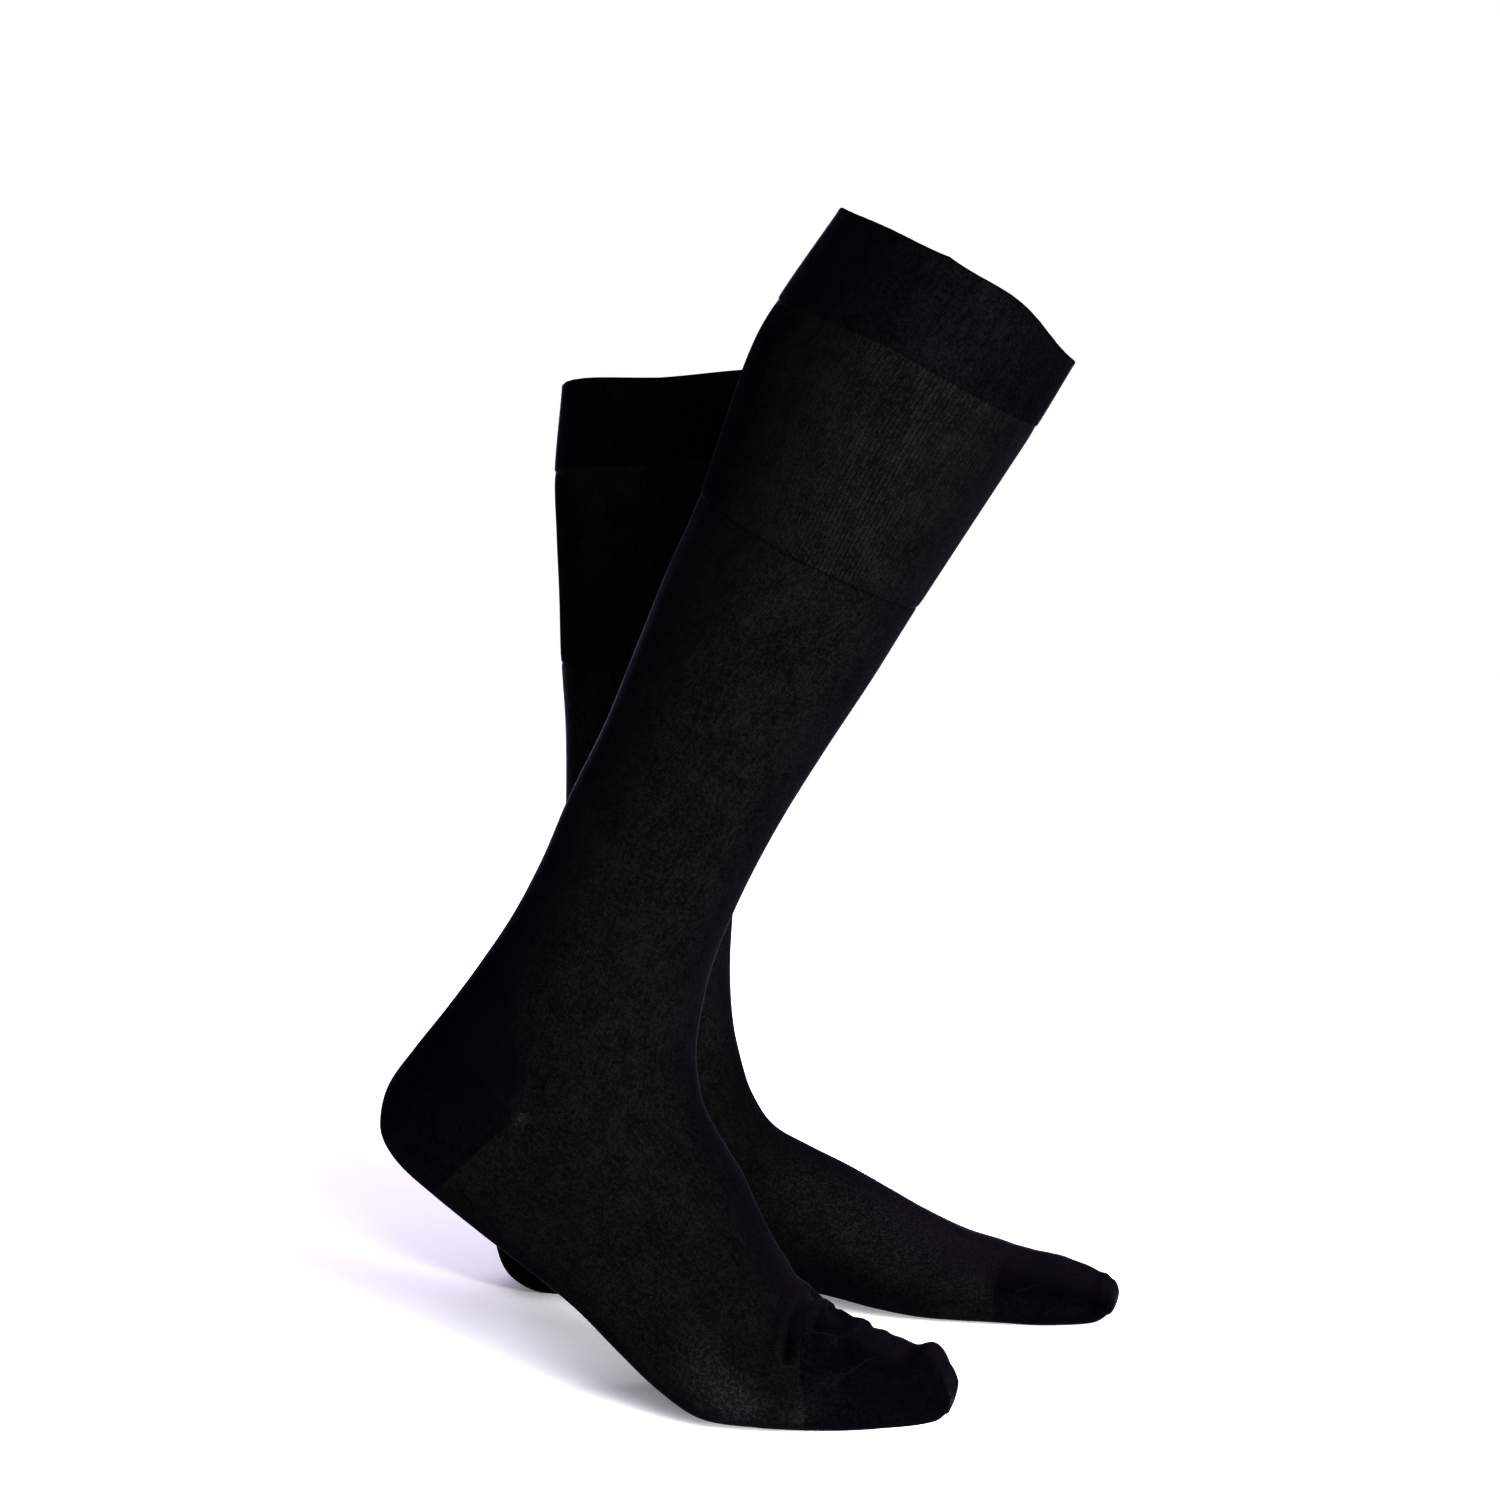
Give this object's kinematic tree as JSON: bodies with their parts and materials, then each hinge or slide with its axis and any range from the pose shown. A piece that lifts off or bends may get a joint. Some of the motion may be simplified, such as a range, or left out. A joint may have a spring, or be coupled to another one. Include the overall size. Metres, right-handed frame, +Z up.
{
  "type": "pair of socks",
  "caption": "Pair of knee-high dress socks, worn in mid-step: one flat on the floor, one rising onto its toes, hollow and open at the top.",
  "frame": {"origin": "centre of the left sock's mouth, which the wearer's calf fills", "axes": "+X towards the toes, +Y to the wearer's left, +Z up the standing leg"},
  "size_m": [0.2702, 0.2799, 0.4519],
  "materials": {
    "welt": "matte",
    "top": "matte",
    "leg": "matte",
    "heel": "matte",
    "foot": "matte",
    "toe": "matte"
  },
  "bodies": {
    "root": {"left_welt": "welt", "left_top": "top", "left_leg": "leg", "left_heel": "heel", "left_foot": "foot", "left_toe": "toe", "right_welt": "welt", "right_top": "top", "right_leg": "leg", "right_heel": "heel", "right_foot": "foot", "right_toe": "toe"}
  },
  "joints": []
}
